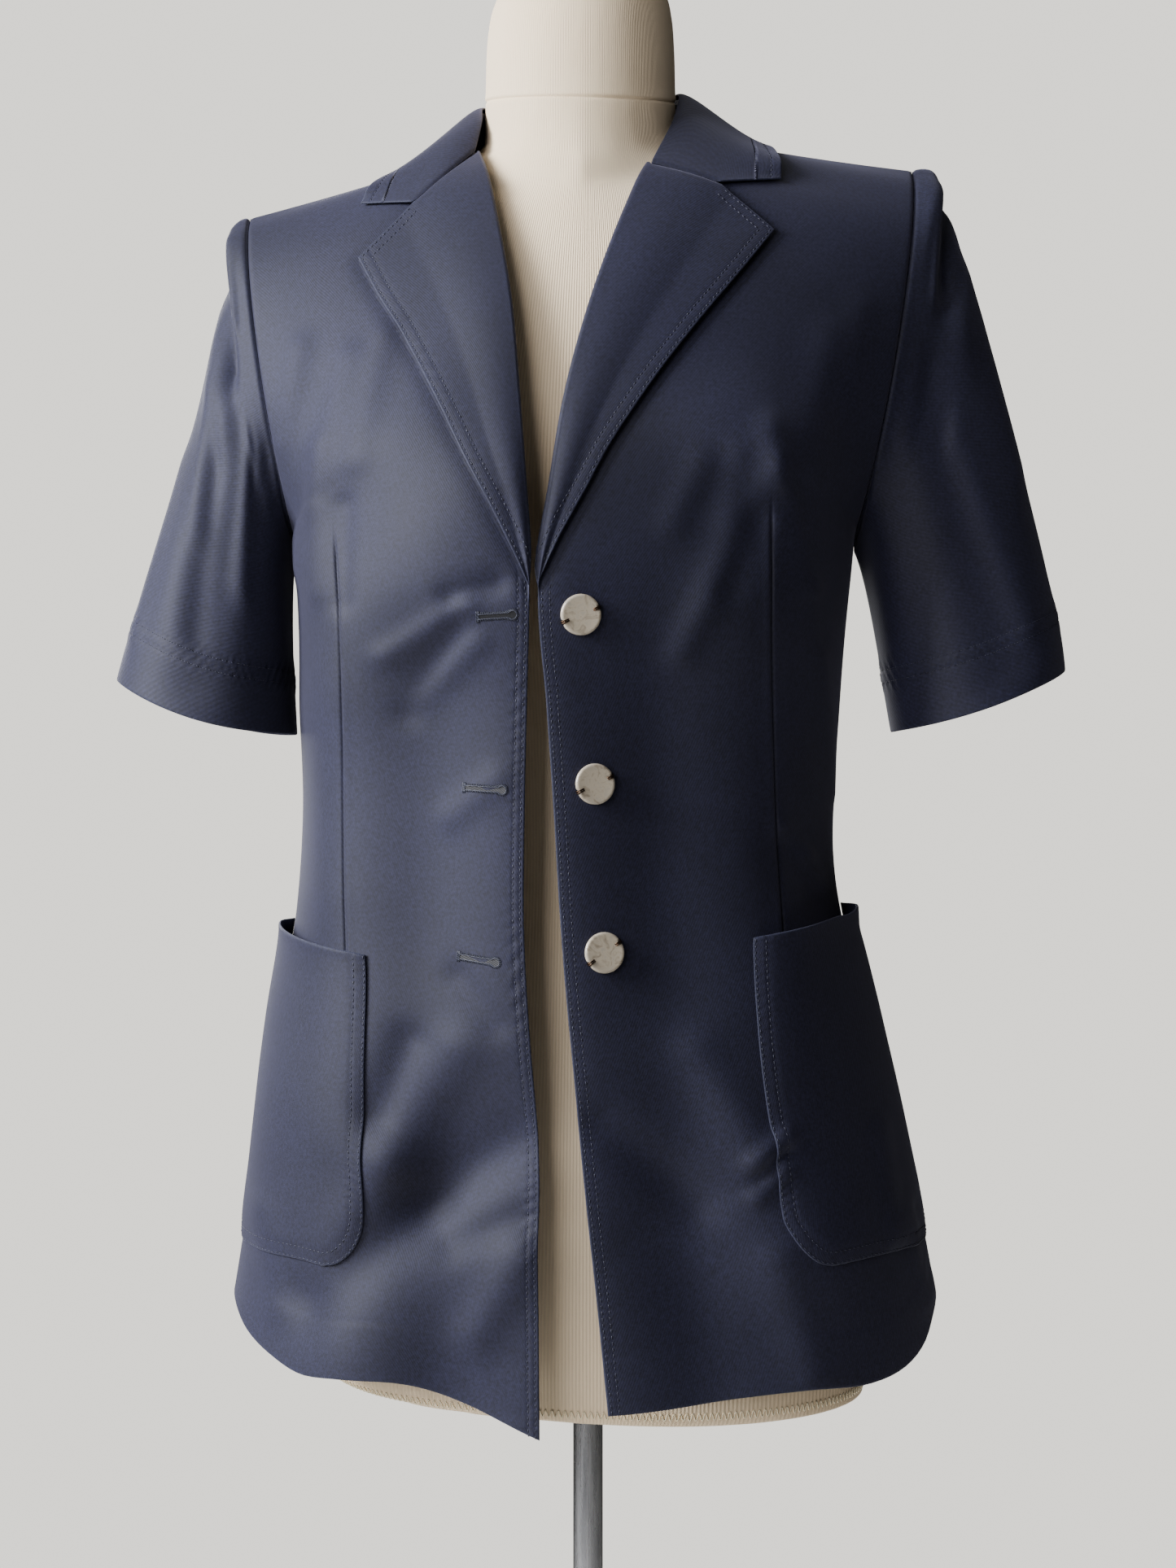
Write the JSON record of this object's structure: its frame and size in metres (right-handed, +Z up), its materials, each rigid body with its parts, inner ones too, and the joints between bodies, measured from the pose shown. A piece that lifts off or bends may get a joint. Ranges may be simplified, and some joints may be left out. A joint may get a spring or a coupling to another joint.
{
  "type": "short-sleeve blazer on a dress form",
  "caption": "Navy cotton-twill short-sleeve blazer with notched lapels, patch pockets and pearl buttons, hanging open on a limbless dress form on a pole stand.",
  "frame": {"origin": "centre of the base's underside, on the floor", "axes": "+Z is up; the form faces -Y, so the wearer's left is +X"},
  "size_m": [0.5732, 0.32, 1.5642],
  "materials": {
    "navy_twill": "matt cotton twill with a slight sheen at grazing angles",
    "ivory_pearl": "polished pearl-effect disc",
    "cream_jersey": "fine ribbed jersey cover, matt",
    "chrome": "polished plated tube",
    "dark_enamel": "satin dark enamel"
  },
  "bodies": {
    "root": {"front_right": "navy_twill", "front_left": "navy_twill", "back_right": "navy_twill", "back_left": "navy_twill", "sleeve_right": "navy_twill", "sleeve_left": "navy_twill", "lapel_right": "navy_twill", "lapel_left": "navy_twill", "collar_fall": "navy_twill", "collar_stand": "navy_twill", "pocket_right": "navy_twill", "pocket_left": "navy_twill", "button_top": "ivory_pearl", "button_middle": "ivory_pearl", "button_bottom": "ivory_pearl", "form_torso": "cream_jersey", "form_flange": "dark_enamel", "pole": "chrome", "base_hub": "chrome", "base": "dark_enamel"}
  },
  "joints": []
}
